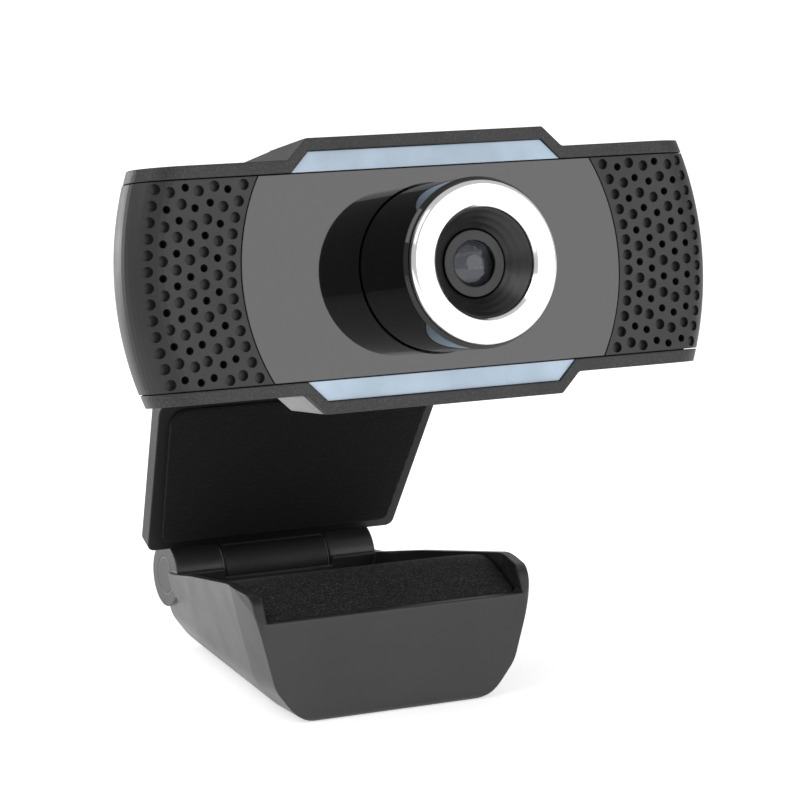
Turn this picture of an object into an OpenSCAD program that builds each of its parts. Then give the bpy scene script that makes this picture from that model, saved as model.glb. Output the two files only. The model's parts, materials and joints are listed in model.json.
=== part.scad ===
// Clip-on webcam: a wide camera head that swivels and tilts on a folding clip with a broad foot.
// Millimetres, +Z up, front towards -Y. Origin: middle of the foot's flat underside.

/* [Head] */
// Overall width of the head across its round ends
head_w = 88.6; // [82:0.1:107]
// Width of the front panel across its round ends
panel_w = 57.2; // [50:0.2:60]
// Height of the front panel and of the grilles
panel_h = 27.5; // [25:0.5:33]
// Thickness of the bars above and below the grilles
bar_t = 1.7; // [1.3:0.1:2.5]
// Rise of the step over the middle of the head
step_h = 2.8; // [2.5:0.1:4]
// Width of the flat top of the step
step_w = 35.8; // [30:0.2:42]
// Sideways run of the step's slope
step_run = 2.9; // [2:0.1:5]
// Depth of the front bezel behind the panel face
bezel_depth = 9.6; // [8:0.1:12]
// Depth of the wings, from the panel face to their back
wing_depth = 14.6; // [14:0.1:24]
// Depth of the hump, from the panel face to its back
hump_depth = 31; // [26:0.5:40]
// Wall of the bezel and of the rear housing
wall = 1.6; // [1.2:0.1:2]

/* [Grilles] */
// Spacing of the curved hole columns
column_step = 1.93; // [1.8:0.01:2.2]
// Number of hole columns in each grille
column_count = 7; // [5:2:7]
// Diameter of the shallow dimples
dimple_d = 1.45; // [1:0.05:1.6]
// Depth of the shallow dimples
dimple_depth = 0.9; // [0.4:0.1:1.1]
// Diameter of the open sound holes
sound_d = 1.05; // [0.7:0.05:1.2]
// Thickness of the grille skin
grille_t = 1.6; // [1.4:0.1:1.9]

/* [Lens] */
// Outside diameter of the lens barrel
barrel_d = 22.8; // [20:0.2:25]
// Length of the lens barrel in front of the panel
barrel_len = 13.4; // [9:0.1:16]
// Wall of the lens barrel
barrel_wall = 1.2; // [0.9:0.1:1.6]
// Outside diameter of the focus ring
ring_d = 21.7; // [19:0.1:23]
// Thickness of the focus ring's front flange
ring_t = 1.1; // [1:0.1:2.5]
// Diameter of the mouth of the focus ring
mouth_d = 14.6; // [13:0.1:16]
// Thread diameter of the lens cell
cell_d = 12; // [10:0.5:12.5]
// Diameter of the glass
glass_d = 6.9; // [5:0.1:7.5]
// Depth from the ring face to the lens retainer
lens_recess = 3.4; // [2.8:0.1:4.5]

/* [Clip] */
// Width of the clip plate at its hinge end
plate_w = 40.8; // [36:0.2:46]
// Widening of the clip plate from its hinge end to its top end
plate_flare = 5.5; // [0:0.1:8]
// Length of the clip plate from the hinge axis to its top edge
plate_len = 33.1; // [31:0.5:40]
// Thickness of the clip plate
plate_t = 2.6; // [1.6:0.1:3]
// Thickness of the foam on the clip plate
plate_pad_t = 1; // [0.6:0.1:1.6]
// Lean of the clip plate towards the front
plate_lean = 26; // [10:1:35]
// Upward tilt of the head
head_pitch = 10.3; // [-5:0.1:20]
// Diameter of the hinge barrel
hinge_d = 9.6; // [8:0.1:10.5]
// Length of the hinge barrel
hinge_len = 33; // [28:0.5:34]
// Length of the middle knuckle of the hinge
knuckle_len = 17; // [12:0.5:20]
// Diameter of the hinge pin
hinge_pin_d = 3.2; // [2.5:0.1:4]

/* [Neck] */
// Diameter of the tilt knuckle
neck_d = 7.2; // [6:0.1:8]
// Width of the tilt knuckle
neck_w = 10; // [8:0.5:12]
// Diameter of the tilt pin
tilt_pin_d = 2.5; // [2:0.1:3]
// Diameter of the swivel post
post_d = 4.8; // [4:0.1:5.5]
// Outside diameter of the eye that turns on the swivel post
eye_d = 10.4; // [9:0.1:11]
// Height of the eye
eye_h = 6; // [5:0.1:7]
// Distance from the back of the head to the swivel post
arm_reach = 22.3; // [16:0.1:30]

/* [Foot] */
// Greatest width of the foot
foot_w = 45; // [38:0.5:54]
// Width of the foot's front opening, between its side rims
lip_w = 40.4; // [34:0.2:42]
// Width of the foot beside the hinge
heel_w = 35.6; // [34.4:0.2:40]
// Length of the foot from its front face to the hinge axis
foot_len = 45; // [38:0.5:56]
// Height of the foot's front lip
lip_h = 15; // [13:0.1:18]
// Height of the side rims near the front of the foot
rim_h = 19.1; // [17:0.1:23]
// Height of the rubber pad at its crest
crest_h = 18.7; // [16:0.1:21]
// Height of the hinge axis above the desk
hinge_h = 12.1; // [11.5:0.1:16]
// Wall of the foot
foot_wall = 1.8; // [1.4:0.1:2.4]
// Thickness of the rubber pad on the foot
foot_pad_t = 1.8; // [1.2:0.1:2.4]

/* [Fits] */
// Radial clearance of a running fit
run_fit = 0.05; // [0.02:0.01:0.1]
// Gap between mating covers
seam = 0.15; // [0.1:0.05:0.3]
// Gap left between surfaces that move past each other
move_gap = 0.4; // [0.3:0.05:0.6]

/* [Hidden] */
$fn = 96;

// Head outline
head_r = head_w / 2;
panel_r = panel_w / 2;
panel_half = panel_h / 2;
bar_half = panel_half + seam + bar_t;
step_half = bar_half + step_h;
step_top_x = step_w / 2;
step_foot_x = step_top_x + step_run;
strip_margin = 1.8;
bar_proud = 0.3;
end_round_x = 5.6;
end_round_y = 4;
end_back_x = 11;
bezel_draft = 0.8;
hump_taper = 0.13;
hump_floor = bar_half - 0.3;
insert_t = 0.8;
insert_fit = 0.03;

// Layers behind the panel face
mesh_t = 0.3;
web_y = grille_t + mesh_t;
web_t = 1.9;
panel_t = web_y;
strip_t = 1.1;
flange_t = 0.8;
flange_reach = 2;
web_back = web_y + web_t;
board_y = 8;
board_t = 1.2;
board_back = board_y + board_t;
board_half_x = 27;
board_half_z = 11.5;

// Grille holes
column_r0 = panel_r + 1.5;
hole_span = 25.5;
short_span = 24.5;

// Microphones
mic_x = 35;
mic_r = 2.4;
mic_t = 2.2;
boot_t = 0.8;

// Lens parts, along the lens axis
barrel_r = barrel_d / 2;
barrel_bore = barrel_r - barrel_wall;
ring_r = ring_d / 2;
mouth_r = mouth_d / 2;
ring_back = -barrel_len - seam;
ring_face = ring_back - ring_t;
skirt_wall = 1;
skirt_r = barrel_bore - run_fit;
skirt_end = -4;
skirt_floor = 1.2;
cell_r = cell_d / 2;
glass_r = glass_d / 2;
retainer_r = glass_r + 1;
retainer_t = 0.8;
nose_r = retainer_r + 0.15;
retainer_y = ring_face + lens_recess;
cone_back = retainer_y + 1;
cell_front = cone_back + 1;
cell_end = 4.6;
mount_front = skirt_end + 0.8;
mount_r = cell_r + 2;
mount_half = 8.5;
mount_step = 4.4;
sensor_pocket = 5.4;
sensor_pocket_y = 5.2;
sensor_half = 4;
sensor_t = 1.2;

// Screws
board_screw_x = 23;
board_screw_z = 8.6;
board_screw_r = 0.9;
case_screw_x = 32.4;
case_screw_z = 9.6;
case_screw_r = 1;
case_boss_r = 2.5;
case_boss_end = wing_depth - 3.4;
screw_fit = 0.03;

// Clip plate, measured from the hinge axis: s up the plate, w towards its back
hinge_r = hinge_d / 2;
pin_r = hinge_pin_d / 2;
plate_front = -0.3;
plate_back = plate_front + plate_t;
plate_start = hinge_r + move_gap;
plate_top_w = plate_w + plate_flare;
pad_border = 1.7;
washer_t = 0.4;
knuckle_half = knuckle_len / 2;
cap_t = 1;
cap_r = pin_r + 1.2;

// Neck, measured from the tilt axis along the head's own directions
neck_r = neck_d / 2;
neck_half = neck_w / 2;
tilt_s = plate_len - 5;
tilt_w = plate_back + neck_r + 0.3;
tilt_pin_r = tilt_pin_d / 2;
tilt_washer_t = 0.3;
lug_in = neck_half + tilt_washer_t;
lug_t = 3.2;
lug_out = lug_in + lug_t;
lug_r = neck_r - 0.2;
post_r = post_d / 2;
eye_r = eye_d / 2;
shoulder_r = eye_r - 0.8;
shoulder_z = neck_r + 0.3;
swivel_washer_t = 0.4;
eye_z = shoulder_z + swivel_washer_t + 0.2;
eye_top = eye_z + eye_h;
clip_t = 0.8;
post_top = eye_top + clip_t + 0.3;

// Where the head hangs from the tilt axis
head_forward = hump_depth + arm_reach;
head_up = 15.45;
arm_half = 4.6;
arm_plate_t = 2.5;
arm_plate_half = 8;
arm_screw_x = 6.2;
arm_screw_r = 1;

// Foot
foot_front = hinge_y() - foot_len;
foot_r = foot_w / 2;
crest_y = foot_front + 11.6;
heel_y = hinge_y() - hinge_r - 0.6;
heel_top = hinge_h + 1.2;
rear_y = hinge_y() + 1.6;
front_wall = 1;
rim_t = 1.3;
flank_full = 1.3;
pad_sink = 1.9;
pad_heel = heel_top - pad_sink;
tray_t = 1.4;
tray_fit = 0.1;
foot_screw_y = [foot_front + 12, heel_y - 6];
foot_screw_r = 1;
foot_boss_r = 2.4;

// The hinge axis lies this far behind the origin
function hinge_y() = 22.4;

// Unit vector
function unit(v) = v / norm(v);

// Points of an arc that rounds the corner b between a and c
function corner(a, b, c, r, n = 6) =
    let (
        u = unit(a - b),
        v = unit(c - b),
        half = acos(u * v) / 2,
        centre = b + unit(u + v) * r / sin(half),
        start = b + u * r / tan(half) - centre,
        end = b + v * r / tan(half) - centre,
        a0 = atan2(start[1], start[0]),
        turn = atan2(start[0] * end[1] - start[1] * end[0], start * end)
    )
    [for (i = [0:n]) centre + r * [cos(a0 + turn * i / n), sin(a0 + turn * i / n)]];

// A closed outline from [x, y, corner radius] entries
function rounded(p) =
    let (n = len(p), xy = [for (q = p) [q[0], q[1]]])
    [for (i = [0:n - 1])
        each (p[i][2] == 0 ? [xy[i]] : corner(xy[(i + n - 1) % n], xy[i], xy[(i + 1) % n], p[i][2]))];

// An outline given for x > 0, closed by its mirror image
function mirrored(p) = concat(p, [for (i = [len(p) - 1:-1:0]) [-p[i][0], p[i][1], p[i][2]]]);

// Extrudes an (x, z) outline from y0 to y1
module along_y(y0, y1) {
    translate([0, y1, 0])
        rotate([90, 0, 0])
            linear_extrude(y1 - y0) children();
}

// Extrudes a (y, z) outline from x0 to x1
module along_x(x0, x1) {
    translate([x0, 0, 0])
        rotate([90, 0, 90])
            linear_extrude(x1 - x0) children();
}

// Turns an (r, y) outline about the lens axis
module about_y() {
    rotate([-90, 0, 0])
        rotate_extrude($fn = 180) children();
}

// A round bar along x, y or z between two places
module bar_x(r, x0, x1) {
    translate([x0, 0, 0]) rotate([0, 90, 0]) cylinder(r = r, h = x1 - x0);
}
module bar_y(r, y0, y1) {
    translate([0, y0, 0]) rotate([-90, 0, 0]) cylinder(r = r, h = y1 - y0);
}
module bar_z(r, z0, z1) {
    translate([0, 0, z0]) cylinder(r = r, h = z1 - z0);
}

// Draws its children and their mirror image in x
module both_sides() {
    children();
    mirror([1, 0, 0]) children();
}

// Frames: each one is carried by the one before it
module at_hinge() {
    translate([0, hinge_y(), hinge_h]) children();
}
module at_plate() {
    at_hinge() rotate([plate_lean, 0, 0]) children();
}
module at_neck() {
    at_plate()
        translate([0, tilt_w, tilt_s])
            rotate([-plate_lean - head_pitch, 0, 0]) children();
}
module at_head() {
    at_neck() translate([0, -head_forward, head_up]) children();
}

// ---- Foot ----

// Side outline of the foot, under its side rims
module foot_side() {
    polygon(rounded([
        [rear_y, 0, 1.5],
        [foot_front, 0, 1],
        [foot_front, lip_h - 0.2, 0.8],
        [foot_front + 1.9, rim_h - 0.6, 2.6],
        [crest_y - 3, rim_h, 6],
        [heel_y - 11, heel_top + 2.3, 20],
        [heel_y, heel_top, 0],
        [rear_y, heel_top - 0.6, 0.4]
    ]));
}

// Plan outline of the foot
module foot_plan() {
    polygon(rounded(mirrored([
        [heel_w / 2, rear_y + 8, 0],
        [heel_w / 2, heel_y, 24],
        [foot_r + 0.1, crest_y - 4, 12],
        [foot_r - 0.9, foot_front, 1.4]
    ])));
}

// Right half of the foot's section, inset by edge
function flank(edge) = [
    [foot_r + 1 - edge, rim_h + 4, 0],
    [foot_r - 1.9 - edge, lip_h - 3.5, 30],
    [foot_r - 3.6 - edge, 5.2, 6],
    [foot_r - 7.6 - edge / 2, edge, 6]
];

// Everything between the two flanks of the foot, inset by edge; behind the crest
// each flank turns inwards with the side line of the plan
module foot_flanks(edge) {
    turn = atan((foot_r - heel_w / 2 - flank_full) / (heel_y - crest_y + 4));
    intersection() {
        along_y(foot_front - 1, rear_y + 8) polygon(rounded(mirrored(flank(edge))));
        for_both_sides() translate([foot_r, crest_y - 4, 0]) rotate([0, 0, turn])
            translate([-foot_r, 0, 0]) along_y(-2 * foot_len, 2 * foot_len)
                polygon(rounded(concat(flank(edge), [
                    [-2 * foot_w, edge, 0],
                    [-2 * foot_w, rim_h + 4, 0]
                ])));
    }
}

// What its children and their mirror image have in common
module for_both_sides() {
    intersection() {
        children();
        mirror([1, 0, 0]) children();
    }
}

// Plan outline of the well for the pad, inset by edge
module well_plan(edge) {
    polygon(rounded(mirrored([
        [heel_w / 2 - foot_wall + 0.6 - edge, heel_y - edge, 0],
        [foot_r - rim_t - edge, crest_y - 4, 10],
        [lip_w / 2 - edge, foot_front + front_wall + edge, 2.4]
    ])));
}

// Everything under the top line of the pad, lowered by drop
module under_pad(drop) {
    along_x(-foot_w, foot_w) polygon(rounded([
        [rear_y + 20, -1, 0],
        [foot_front - 2, -1, 0],
        [foot_front - 2, lip_h - 0.1 - drop, 0],
        [foot_front + front_wall, lip_h - drop, 2],
        [crest_y, crest_h - drop, 8],
        [heel_y, pad_heel - drop, 0],
        [rear_y + 20, pad_heel - 4 - drop, 0]
    ]));
}

// The well inside the foot, inset by edge
module foot_well(edge) {
    intersection() {
        translate([0, 0, foot_wall + edge]) linear_extrude(rim_h + 4) well_plan(edge);
        foot_flanks(rim_t + edge);
    }
}

module foot_shell() {
    outer = hinge_len / 2;
    inner = knuckle_half + washer_t;
    color([0.2, 0.2, 0.21])
    difference() {
        union() {
            difference() {
                intersection() {
                    along_x(-foot_w, foot_w) foot_side();
                    translate([0, 0, -1]) linear_extrude(rim_h + 8) foot_plan();
                    foot_flanks(0);
                }
                foot_well(0);
                // the low lip between the side rims
                difference() {
                    translate([-lip_w / 2, foot_front - 1, 1]) cube([lip_w, 4, rim_h]);
                    under_pad(0);
                }
            }
            at_hinge() bar_x(hinge_r, -outer, outer);
            for (y = foot_screw_y)
                translate([0, y, 0]) bar_z(foot_boss_r, 1, boss_top(y));
        }
        at_hinge() bar_x(hinge_r + move_gap, -inner, inner);
        at_hinge() bar_x(pin_r, -outer - 1, outer + 1);
        at_hinge() both_sides() bar_x(cap_r, outer - cap_t, outer + 1);
        translate([-inner, heel_y - 2, hinge_h]) cube([2 * inner, 2 * hinge_d, hinge_d]);
        for (y = foot_screw_y) translate([0, y, 0]) {
            bar_z(foot_screw_r + 0.2, -1, boss_top(y) + 1);
            bar_z(foot_screw_r + 1.3, -1, 1.2);
        }
    }
}

// Height of the pad's top line at y, on the straight runs either side of the crest
function pad_line(y) = y < crest_y
    ? lip_h + (crest_h - lip_h) * (y - foot_front - front_wall) / (crest_y - foot_front - front_wall)
    : crest_h + (pad_heel - crest_h) * (y - crest_y) / (heel_y - crest_y);

// Top of a screw boss at y, under the tray
function boss_top(y) = pad_line(y) - foot_pad_t - tray_t - 1.2;

module foot_tray() {
    color([0.1, 0.1, 0.1])
    difference() {
        union() {
            intersection() {
                foot_well(tray_fit);
                difference() {
                    under_pad(foot_pad_t);
                    under_pad(foot_pad_t + tray_t);
                }
            }
            for (y = foot_screw_y)
                translate([0, y, 0]) bar_z(foot_boss_r, boss_top(y), boss_top(y) + 1.6);
        }
        for (y = foot_screw_y)
            translate([0, y, 0]) bar_z(foot_screw_r + screw_fit, 0, boss_top(y) + 1.6);
    }
}

module foot_pad() {
    color([0.07, 0.07, 0.07])
    intersection() {
        foot_well(tray_fit);
        difference() {
            under_pad(0);
            under_pad(foot_pad_t);
        }
    }
}

module foot_screws() {
    color("silver")
    for (y = foot_screw_y) translate([0, y, 0]) difference() {
        union() {
            bar_z(foot_screw_r, 0.4, boss_top(y) + 1.5);
            bar_z(foot_screw_r + 1.1, 0.4, 1.2);
        }
        translate([-0.9, -0.25, 0]) cube([1.8, 0.5, 0.8]);
    }
}

module hinge_pin() {
    color("silver")
    at_hinge() bar_x(pin_r, cap_t - hinge_len / 2, hinge_len / 2 - cap_t);
}

module hinge_caps() {
    color([0.24, 0.24, 0.25])
    at_hinge() both_sides() bar_x(cap_r, hinge_len / 2 - cap_t, hinge_len / 2);
}

module hinge_washers() {
    color("gray")
    at_hinge() both_sides() difference() {
        bar_x(hinge_r - 0.5, knuckle_half, knuckle_half + washer_t);
        bar_x(pin_r + run_fit, 0, hinge_len);
    }
}

// ---- Clip plate ----

// Front outline of the plate in (x, s), inset by edge
module plate_outline(edge) {
    top = plate_len - edge;
    foot = plate_start + edge;
    foot_x = plate_w / 2 - edge;
    top_x = plate_top_w / 2 - edge;
    polygon(rounded(mirrored([
        [top_x, top, 2.5],
        [foot_x, foot, 1.2]
    ])));
}

module clip_plate() {
    color([0.16, 0.16, 0.17])
    at_plate() difference() {
        union() {
            along_y(plate_front, plate_back) plate_outline(0);
            bar_x(hinge_r, -knuckle_half, knuckle_half);
            translate([-knuckle_half, plate_front, 0]) cube([knuckle_len, plate_t, plate_start + 1]);
            both_sides() {
                translate([0, tilt_w, tilt_s]) bar_x(lug_r, lug_in, lug_out);
                translate([lug_in, plate_back - 0.5, tilt_s - lug_r])
                    cube([lug_t, tilt_w - plate_back + 0.5, 2 * lug_r]);
                translate([lug_in, 0, 0])
                    along_x(0, lug_t)
                        polygon([
                            [plate_back - 0.5, tilt_s - lug_r - 6],
                            [tilt_w, tilt_s - lug_r],
                            [plate_back - 0.5, tilt_s]
                        ]);
            }
        }
        bar_x(pin_r + run_fit, -plate_w, plate_w);
        translate([0, tilt_w, tilt_s]) bar_x(tilt_pin_r, -plate_w, plate_w);
    }
}

module plate_pad() {
    color([0.08, 0.08, 0.08])
    at_plate() along_y(plate_front - plate_pad_t, plate_front)
        plate_outline(pad_border);
}

module tilt_pin() {
    color("silver")
    at_plate() translate([0, tilt_w, tilt_s]) {
        bar_x(tilt_pin_r, -lug_out, lug_out + 0.8);
        bar_x(tilt_pin_r + 0.8, lug_out, lug_out + 0.8);
    }
}

module tilt_washers() {
    color("gray")
    at_plate() translate([0, tilt_w, tilt_s]) both_sides() difference() {
        bar_x(neck_r - 0.5, neck_half, lug_in);
        bar_x(tilt_pin_r + run_fit, 0, lug_out);
    }
}

// ---- Neck ----

module neck_block() {
    color([0.16, 0.16, 0.17])
    at_neck() difference() {
        union() {
            bar_x(neck_r, -neck_half, neck_half);
            bar_z(neck_r - 0.2, 0, shoulder_z);
            bar_z(shoulder_r, shoulder_z - 1, shoulder_z);
            bar_z(post_r, 0, post_top);
        }
        bar_x(tilt_pin_r + run_fit, -neck_w, neck_w);
    }
}

module swivel_washer() {
    color("gray")
    at_neck() difference() {
        bar_z(shoulder_r, shoulder_z, shoulder_z + swivel_washer_t);
        bar_z(post_r, 0, post_top);
    }
}

module post_clip() {
    color("silver")
    at_neck() difference() {
        bar_z(post_r + 1.3, eye_top + 0.2, eye_top + 0.2 + clip_t);
        bar_z(post_r, 0, post_top + 1);
    }
}

// ---- Head: casing ----

// Half-profile (r, y) of the head's round ends: a front quarter from y0 to the widest place,
// then a longer back quarter that stops at y1, inset by edge
function end_profile(edge, y0, y1) =
    let (
        rx = end_round_x - edge,
        ry = end_round_y - y0,
        bx = end_back_x - edge,
        by = wing_depth - end_round_y - edge,
        stop = min(89.9, asin(min(0.9999, (y1 - end_round_y) / by)))
    )
    concat(
        [[0, y0]],
        [for (i = [0:10]) [head_r - end_round_x + rx * sin(9 * i), y0 + ry * (1 - cos(9 * i))]],
        [for (i = [1:12]) let (a = stop * i / 12) [head_r - end_back_x + bx * cos(a), end_round_y + by * sin(a)]],
        [[0, end_round_y + by * sin(stop)]]
    );

// Front outline of the casing in (x, z), inset by edge
module case_outline(edge) {
    x0 = step_top_x - edge / 2;
    x1 = step_foot_x - edge / 2;
    hi = step_half - edge;
    lo = bar_half - edge;
    polygon(rounded([
        [x0, hi, 0.5], [x1, lo, 0.8], [head_r, lo, 0], [head_r, -lo, 0], [x1, -lo, 0.8], [x0, -hi, 0.5],
        [-x0, -hi, 0.5], [-x1, -lo, 0.8], [-head_r, -lo, 0], [-head_r, lo, 0], [-x1, lo, 0.8], [-x0, hi, 0.5]
    ]));
}

// The trapezoid seat of an accent strip, grown by grow
module strip_outline(grow) {
    z0 = panel_half + seam;
    z1 = step_half - strip_margin;
    slope = step_run / step_h;
    x1 = step_top_x - 0.3;
    x0 = x1 + slope * (z1 - z0);
    polygon([[x0 + grow, z0 - grow], [x1 + grow, z1 + grow], [-x1 - grow, z1 + grow], [-x0 - grow, z0 - grow]]);
}

// The drafted top and bottom of the bezel
module bezel_sides() {
    along_x(-head_w, head_w) polygon([
        [-1, step_half], [0, step_half], [bezel_depth, step_half - bezel_draft],
        [bezel_depth, bezel_draft - step_half], [0, -step_half], [-1, -step_half]
    ]);
}

// The seat of a pale insert in the lower slope of the step, grown by grow
module insert_seat(grow) {
    intersection() {
        along_y(1 - grow, bezel_depth + 1) difference() {
            case_outline(-1);
            case_outline(insert_t + grow);
        }
        translate([step_top_x + 0.1 - grow, 0, -head_w])
            cube([step_run + 0.5 + 2 * grow, bezel_depth + 1, head_w]);
    }
}
module lower_insert() {
    intersection() {
        insert_seat(0);
        along_y(0, bezel_depth) case_outline(0);
        bezel_sides();
    }
}
module lower_insert_right() {
    color([0.65, 0.65, 0.65])
    at_head() lower_insert();
}
module lower_insert_left() {
    color([0.65, 0.65, 0.65])
    at_head() mirror([1, 0, 0]) lower_insert();
}

module front_bezel() {
    cover = grille_t + seam;
    color([0.22, 0.22, 0.23])
    at_head() difference() {
        union() {
            intersection() {
                about_y() polygon(end_profile(0.1, -bar_proud, bezel_depth));
                along_y(-1, bezel_depth) case_outline(0);
                bezel_sides();
                difference() {
                    translate([-head_w, -1, -head_w]) cube([2 * head_w, bezel_depth + 1, 2 * head_w]);
                    // recess for the panel and the grilles
                    along_y(-2, web_y) square([2 * head_w, panel_h + 2 * seam], center = true);
                    // room behind the web
                    along_y(web_back, bezel_depth + 1)
                        square([2 * head_w, panel_h + 2 * seam], center = true);
                    // seats of the accent strips
                    along_y(-2, strip_t) strip_outline(seam / 2);
                    along_y(-2, strip_t) mirror([0, 1]) strip_outline(seam / 2);
                }
            }
            both_sides() for (z = [-1, 1]) {
                translate([board_screw_x, 0, z * board_screw_z]) bar_y(2.2, web_back - 0.2, board_y);
                translate([case_screw_x, 0, z * case_screw_z]) bar_y(case_boss_r, web_back - 0.2, case_boss_end);
            }
        }
        // the grille skins wrap round the ends of the web
        difference() {
            along_y(-2, bezel_depth + 1)
                square([3 * head_w, panel_h + 2 * seam], center = true);
            about_y() polygon(end_profile(cover, cover, bezel_depth + 2));
        }
        both_sides() insert_seat(insert_fit);
        bar_y(mount_r + 0.3, -1, bezel_depth);
        bar_y(barrel_r + flange_reach + seam, 0, panel_t + flange_t);
        both_sides() {
            translate([mic_x, 0, 0]) bar_y(1.2, 0, bezel_depth);
            for (z = [-1, 1]) {
                translate([board_screw_x, 0, z * board_screw_z]) bar_y(board_screw_r, web_back + 0.4, board_y + 1);
                translate([case_screw_x, 0, z * case_screw_z])
                    bar_y(case_screw_r, web_back + 0.4, case_boss_end + 1);
            }
        }
    }
}

module front_panel() {
    color([0.3, 0.3, 0.3])
    at_head() difference() {
        intersection() {
            bar_y(panel_r, 0, panel_t);
            along_y(-1, panel_t + 1) square([panel_w, panel_h], center = true);
        }
        bar_y(barrel_r + seam, -1, panel_t + 1);
    }
}

module accent_strip() {
    along_y(0, strip_t - 0.02) strip_outline(0);
}
module accent_strip_top() {
    color([0.68, 0.76, 0.84])
    at_head() accent_strip();
}
module accent_strip_bottom() {
    color([0.68, 0.76, 0.84])
    at_head() mirror([0, 0, 1]) accent_strip();
}

// Half-profile (r, y) of a grille skin that wraps round the end of the head
module grille_profile() {
    outer = end_profile(0, 0, bezel_depth);
    inner = end_profile(grille_t, grille_t, bezel_depth);
    n = len(outer);
    polygon(concat(
        [[panel_r + seam, 0]],
        [for (i = [1:n - 2]) outer[i]],
        [for (i = [n - 2:-1:1]) inner[i]],
        [[panel_r + seam, grille_t]]
    ));
}

// Depth of the skin's outer face behind the panel face at radius r
function skin_y(r) =
    let (u = max(0, min(0.99, (r - head_r + end_round_x) / end_round_x)))
    end_round_y * (1 - sqrt(1 - u * u));

// Calls its children at every hole of the given kind: 0 is a dimple and 1 is a sound hole.
// Every other column has one hole fewer, and the two kinds alternate in the inner columns.
module grille_holes(kind) {
    for (c = [0:column_count - 1]) {
        long = c % 2 == 0;
        count = long ? 13 : 12;
        span = long ? hole_span : short_span;
        edge_column = c == 0 || c == column_count - 1;
        first = c == 1 || c == 4 ? 1 : 0;
        r = column_r0 + column_step * c;
        for (i = [0:count - 1])
            if (kind == (edge_column ? 0 : (i + first) % 2)) {
                z = span * (0.5 - i / (count - 1));
                translate([sqrt(r * r - z * z), skin_y(r), z]) children();
            }
    }
}

module grille() {
    difference() {
        intersection() {
            about_y() grille_profile();
            translate([0, -1, -panel_half]) cube([head_w, bezel_depth + 2, panel_h]);
        }
        grille_holes(0) bar_y(dimple_d / 2, -3, dimple_depth, $fn = 24);
        grille_holes(1) bar_y(sound_d / 2, -3, grille_t + 3, $fn = 24);
    }
}
module grille_right() {
    color([0.24, 0.24, 0.25])
    at_head() grille();
}
module grille_left() {
    color([0.24, 0.24, 0.25])
    at_head() mirror([1, 0, 0]) grille();
}

module dust_mesh() {
    reach = head_r - end_round_x;
    translate([0, web_y - mesh_t, 0]) intersection() {
        difference() {
            bar_y(reach, 0, mesh_t);
            bar_y(panel_r + seam, -1, mesh_t + 1);
        }
        translate([0, -1, -panel_half]) cube([head_w, 3, panel_h]);
    }
}
module dust_mesh_right() {
    color([0.03, 0.03, 0.03])
    at_head() dust_mesh();
}
module dust_mesh_left() {
    color([0.03, 0.03, 0.03])
    at_head() mirror([1, 0, 0]) dust_mesh();
}

// Outer form of the rear housing from the bezel's edge back, inset by edge
module rear_form(edge) {
    y0 = bezel_depth - edge;
    top = step_half - bezel_draft - edge;
    floor_z = hump_floor - edge;
    shoulder_y = hump_depth - 4;
    back_top = 11;
    union() {
        intersection() {
            about_y() polygon(end_profile(0.1 + edge, y0 - 1, wing_depth - edge));
            along_y(y0, wing_depth) square([2 * head_w, 2 * floor_z], center = true);
        }
        intersection() {
            along_y(y0, hump_depth - edge) polygon(rounded(mirrored([
                [step_foot_x - 0.2 - edge, -floor_z, 0.8],
                [step_foot_x - 0.2 - edge, bar_half - edge, 0],
                [step_top_x - 0.2 - edge / 2, step_half - edge, 0]
            ])));
            along_x(-head_r, head_r) polygon(rounded([
                [y0, top, 0],
                [shoulder_y, top - hump_taper * (shoulder_y - bezel_depth), 4],
                [hump_depth - edge, back_top - edge, 1.5],
                [hump_depth - edge, -floor_z, 1.5],
                [y0, -floor_z, 0]
            ]));
            translate([0, 0, -head_w]) linear_extrude(2 * head_w) polygon(rounded(mirrored([
                [step_foot_x - 0.2 - edge, y0, 0],
                [step_foot_x - 3 - edge, shoulder_y, 5],
                [step_foot_x - 8 - edge, hump_depth - edge, 1.5]
            ])));
        }
    }
}

module rear_housing() {
    color([0.25, 0.25, 0.26])
    at_head() difference() {
        union() {
            difference() {
                rear_form(0);
                rear_form(wall);
            }
            both_sides() for (z = [-1, 1])
                translate([case_screw_x, 0, z * case_screw_z])
                    bar_y(case_boss_r + 0.4, case_boss_end + 0.1, wing_depth - 0.5);
        }
        both_sides() {
            for (z = [-1, 1]) translate([case_screw_x, 0, z * case_screw_z]) {
                bar_y(case_screw_r + 0.2, bezel_depth, wing_depth + 1);
                bar_y(case_screw_r + 1.3, wing_depth - 1.6, wing_depth + 1);
            }
            translate([arm_screw_x, 0, arm_z_mid()])
                bar_y(arm_screw_r + 0.1, hump_depth - 5, hump_depth + 1);
        }
        translate([0, 0, grommet_z]) bar_y(grommet_r, hump_depth - 5, hump_depth + 1);
    }
}

// Middle height of the swivel arm, in the head's frame
function arm_z_mid() = -head_up + eye_z + eye_h / 2;

grommet_r = 3.1;
grommet_z = 4.5;
cord_r = 1.9;

module cord_grommet() {
    lip = 0.8;
    color([0.05, 0.05, 0.05])
    at_head() translate([0, 0, grommet_z]) difference() {
        union() {
            bar_y(grommet_r, hump_depth - wall - 1, hump_depth + 1);
            bar_y(grommet_r + lip, hump_depth + 0.05, hump_depth + 1);
            bar_y(grommet_r + lip, hump_depth - wall - 1, hump_depth - wall - 0.15);
        }
        bar_y(cord_r, hump_depth - 6, hump_depth + 3);
    }
}

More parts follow.
